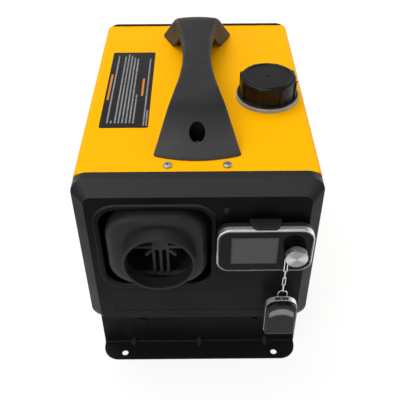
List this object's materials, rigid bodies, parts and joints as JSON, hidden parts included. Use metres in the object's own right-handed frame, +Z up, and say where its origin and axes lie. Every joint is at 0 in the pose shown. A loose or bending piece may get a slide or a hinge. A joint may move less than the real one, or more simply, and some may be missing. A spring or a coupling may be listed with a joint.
{
  "type": "portable diesel air heater",
  "caption": "Portable air heater in a sheet-metal box with a carrying handle, fuel tank and cap, hot-air spigot, knob controller and a key-fob remote on a chain.",
  "frame": {"origin": "on the floor, midway between the four holes of the bolt-down flanges", "axes": "+Z up; the front with the hot-air outlet faces -Y; +X to the right seen from the front"},
  "size_m": [0.252, 0.4061, 0.3244],
  "materials": {
    "yellow_paint": "satin powder coat",
    "black_paint": "satin powder coat",
    "zinc": "zinc plated",
    "steel": "plain",
    "handle_plastic": "fine grain",
    "black_plastic": "satin",
    "black_gloss": "polished",
    "sticker": "printed vinyl",
    "grey_plastic": "satin",
    "tank_plastic": "natural polyethylene",
    "aluminium": "die cast",
    "knob_metal": "turned",
    "bright": "polished",
    "screen": "display film",
    "board": "circuit board",
    "rubber": "moulded",
    "brass": "turned",
    "filter_plastic": "clear housing",
    "line_plastic": "nylon tube",
    "band": "metallised",
    "button": "moulded"
  },
  "bodies": {
    "chassis": {"base_tray": "black_paint", "blower_plate": "aluminium", "body_screws": "zinc", "bracket_screws": "black_paint", "burner_tube": "steel", "control_board": "board", "controller_bezel": "bright", "controller_body": "black_plastic", "controller_bracket": "black_paint", "controller_glass": "black_gloss", "encoder_body": "black_plastic", "end_brackets": "black_paint", "exhaust_pipe": "steel", "filler_ring": "grey_plastic", "front_panel": "black_paint", "fuel_filter": "filter_plastic", "fuel_hoses": "rubber", "fuel_line": "line_plastic", "fuel_tank": "tank_plastic", "glow_plug": "steel", "handle": "handle_plastic", "handle_brace": "zinc", "handle_screws": "zinc", "heat_exchanger": "aluminium", "heater_shell_lower": "black_plastic", "heater_shell_upper": "black_plastic", "heater_stand": "black_paint", "inlet_grille": "black_plastic", "intake_pipe": "black_plastic", "lcd_screen": "screen", "motor_body": "steel", "outlet_cowl": "black_plastic", "outlet_guard": "black_plastic", "power_socket": "black_plastic", "pump_body": "steel", "pump_clamp": "rubber", "rear_panel": "black_paint", "tank_outlet": "brass", "tank_pads": "rubber", "tank_strap": "zinc", "top_cover": "yellow_paint", "top_sticker": "sticker"},
    "rotor": {"motor_shaft": "steel", "air_fan": "black_plastic", "burner_fan": "aluminium"},
    "cap_seal": {"cap_gasket": "rubber"},
    "cap": {"fuel_cap": "black_gloss"},
    "encoder_push": {"encoder_plunger": "steel"},
    "knob_turned": {"encoder_shaft": "steel", "knob": "knob_metal"},
    "loop": {"wire_loop": "steel"},
    "chain": {"chain_links": "bright"},
    "fob": {"fob_frame": "bright", "fob_shell": "black_gloss"},
    "fob_cover": {"fob_slide": "band"},
    "fob_key_1": {"fob_button_1": "button"},
    "fob_key_2": {"fob_button_2": "button"},
    "fob_key_3": {"fob_button_3": "button"},
    "fob_key_4": {"fob_button_4": "button"},
    "pump_piston": {"pump_plunger": "steel"}
  },
  "joints": [
    {"name": "fan_spin", "type": "hinge", "parent": "chassis", "child": "rotor", "pos_m": [-0.04, 0.1, 0.196], "axis": [0, 1, 0], "continuous": true},
    {"name": "cap_lift", "type": "slide", "parent": "chassis", "child": "cap_seal", "axis": [0, 0, 1], "range_m": [0, 0.01351]},
    {"name": "cap_turn", "type": "hinge", "parent": "cap_seal", "child": "cap", "pos_m": [0.081, -0.0235, 0.2918], "axis": [0, 0, 1], "range_deg": [0, 810]},
    {"name": "knob_push", "type": "slide", "parent": "chassis", "child": "encoder_push", "axis": [0, 1, 0], "range_m": [0, 0.0006], "stiffness_N_per_m": 1000, "springref_m": -0.0005},
    {"name": "knob_turn", "type": "hinge", "parent": "encoder_push", "child": "knob_turned", "pos_m": [0.099, -0.20615, 0.2047], "axis": [0, 1, 0], "continuous": true},
    {"name": "loop_swing", "type": "hinge", "parent": "chassis", "child": "loop", "pos_m": [0.099, -0.20615, 0.2047], "axis": [0, 1, 0], "range_deg": [-30, 30]},
    {"name": "link_swing", "type": "hinge", "parent": "loop", "child": "chain", "pos_m": [0.0906, -0.20615, 0.1773], "axis": [-1, 0, 0], "range_deg": [0, 50]},
    {"name": "fob_swing", "type": "hinge", "parent": "chain", "child": "fob", "pos_m": [0.0906, -0.20615, 0.1303], "axis": [0, 1, 0], "range_deg": [-25, 25]},
    {"name": "fob_slide_down", "type": "slide", "parent": "fob", "child": "fob_cover", "axis": [0, 0, -1], "range_m": [0, 0.02]},
    {"name": "fob_press_1", "type": "slide", "parent": "fob", "child": "fob_key_1", "axis": [0, 1, 0], "range_m": [0, 0.0006], "stiffness_N_per_m": 800, "springref_m": -0.0003},
    {"name": "fob_press_2", "type": "slide", "parent": "fob", "child": "fob_key_2", "axis": [0, 1, 0], "range_m": [0, 0.0006], "stiffness_N_per_m": 800, "springref_m": -0.0003},
    {"name": "fob_press_3", "type": "slide", "parent": "fob", "child": "fob_key_3", "axis": [0, 1, 0], "range_m": [0, 0.0006], "stiffness_N_per_m": 800, "springref_m": -0.0003},
    {"name": "fob_press_4", "type": "slide", "parent": "fob", "child": "fob_key_4", "axis": [0, 1, 0], "range_m": [0, 0.0006], "stiffness_N_per_m": 800, "springref_m": -0.0003},
    {"name": "pump_stroke", "type": "slide", "parent": "chassis", "child": "pump_piston", "axis": [1, 0, 0], "range_m": [0, 0.004], "stiffness_N_per_m": 500}
  ],
  "couplings": [
    {"joint": "cap_lift", "follows": "cap_turn", "m_per_rad": 0.00095493}
  ]
}
